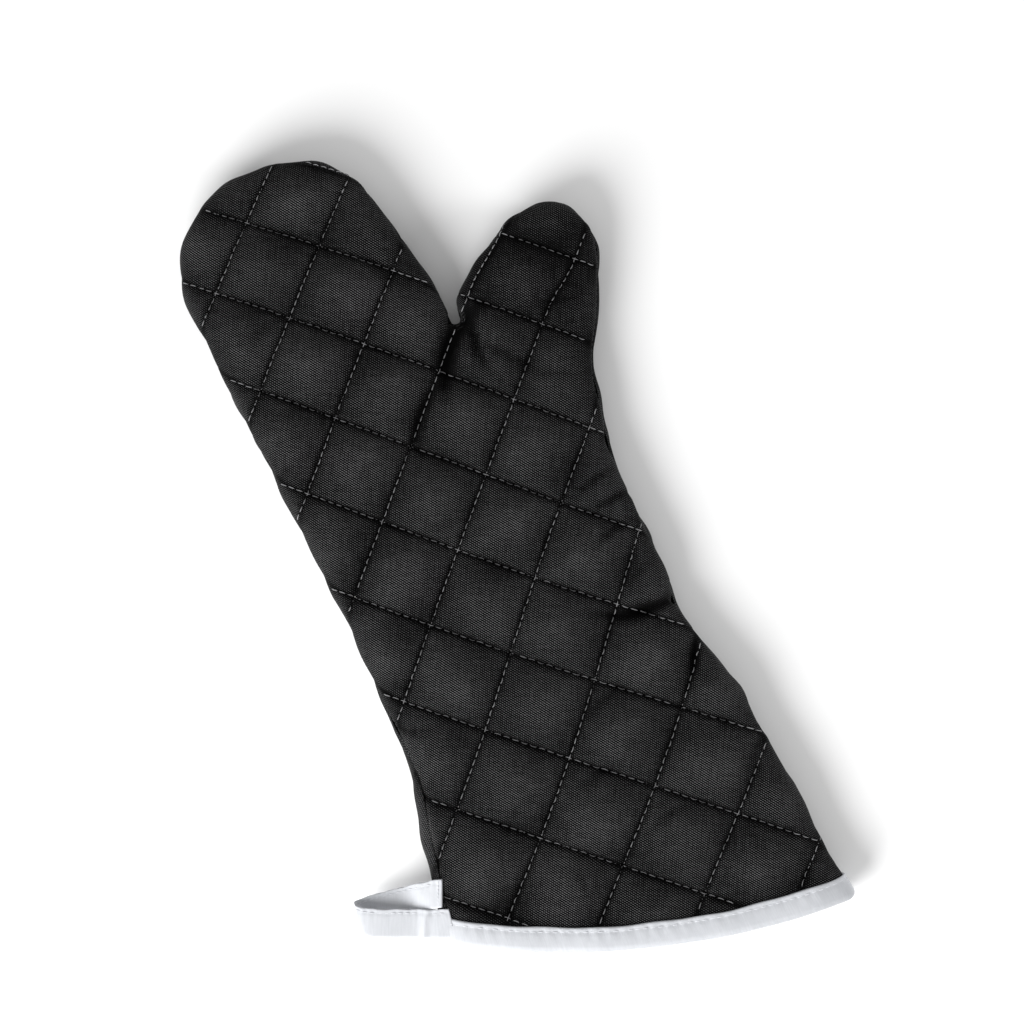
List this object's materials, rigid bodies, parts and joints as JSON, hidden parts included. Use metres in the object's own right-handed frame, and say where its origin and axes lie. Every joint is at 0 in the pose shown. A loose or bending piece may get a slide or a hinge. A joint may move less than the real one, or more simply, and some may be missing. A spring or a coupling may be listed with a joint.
{
  "type": "oven mitt",
  "caption": "Quilted heat-resistant gauntlet mitt with a separate thumb, padded panels, a bound slanted mouth and a tape hanging loop; it folds at the knuckles, thumb and wrist",
  "frame": {"origin": "On the flat underside of the back panel, on the cuff's centre line, below the middle of the palm", "axes": "+Y from the cuff to the fingertips, +X to the thumb side, +Z out of the palm of a right hand"},
  "size_m": [0.2396, 0.4325, 0.026],
  "materials": {
    "cover_canvas": "black plain-weave cotton canvas",
    "batting": "off-white needled cotton batting",
    "lining_cotton": "light grey woven cotton",
    "quilting_thread": "grey spun thread",
    "seam_thread": "black spun thread",
    "binding_tape": "white folded bias tape",
    "binding_thread": "white spun thread"
  },
  "bodies": {
    "palm": {"front_cover_palm": "cover_canvas", "front_batting_palm": "batting", "front_lining_palm": "lining_cotton", "front_quilting_palm": "quilting_thread", "back_cover_palm": "cover_canvas", "back_batting_palm": "batting", "back_lining_palm": "lining_cotton", "back_quilting_palm": "quilting_thread", "side_seam_palm": "seam_thread"},
    "fingers": {"front_cover_fingers": "cover_canvas", "front_batting_fingers": "batting", "front_lining_fingers": "lining_cotton", "front_quilting_fingers": "quilting_thread", "back_cover_fingers": "cover_canvas", "back_batting_fingers": "batting", "back_lining_fingers": "lining_cotton", "back_quilting_fingers": "quilting_thread", "side_seam_fingers": "seam_thread"},
    "thumb": {"front_cover_thumb": "cover_canvas", "front_batting_thumb": "batting", "front_lining_thumb": "lining_cotton", "front_quilting_thumb": "quilting_thread", "back_cover_thumb": "cover_canvas", "back_batting_thumb": "batting", "back_lining_thumb": "lining_cotton", "back_quilting_thumb": "quilting_thread", "side_seam_thumb": "seam_thread"},
    "cuff": {"front_cover_cuff": "cover_canvas", "front_batting_cuff": "batting", "front_lining_cuff": "lining_cotton", "front_quilting_cuff": "quilting_thread", "back_cover_cuff": "cover_canvas", "back_batting_cuff": "batting", "back_lining_cuff": "lining_cotton", "back_quilting_cuff": "quilting_thread", "side_seam_cuff": "seam_thread", "mouth_binding": "binding_tape", "binding_stitch": "binding_thread", "loop_tack": "binding_tape"},
    "hanging_loop": {"hanging_loop": "binding_tape"}
  },
  "joints": [
    {"name": "knuckle_fold", "type": "hinge", "parent": "palm", "child": "fingers", "pos_m": [0, 0.081, 0.026], "axis": [1, 0, 0], "range_deg": [0, 90]},
    {"name": "thumb_fold", "type": "hinge", "parent": "palm", "child": "thumb", "pos_m": [0.0355, 0.065, 0.026], "axis": [0.7071, -0.7071, 0], "range_deg": [0, 80]},
    {"name": "wrist_fold", "type": "hinge", "parent": "palm", "child": "cuff", "pos_m": [0, -0.085, 0.026], "axis": [-1, 0, 0], "range_deg": [0, 75]},
    {"name": "loop_swing", "type": "hinge", "parent": "cuff", "child": "hanging_loop", "pos_m": [-0.09273, -0.17763, 0.013], "axis": [0.1922, 0.9814, 0], "range_deg": [-80, 80]}
  ]
}
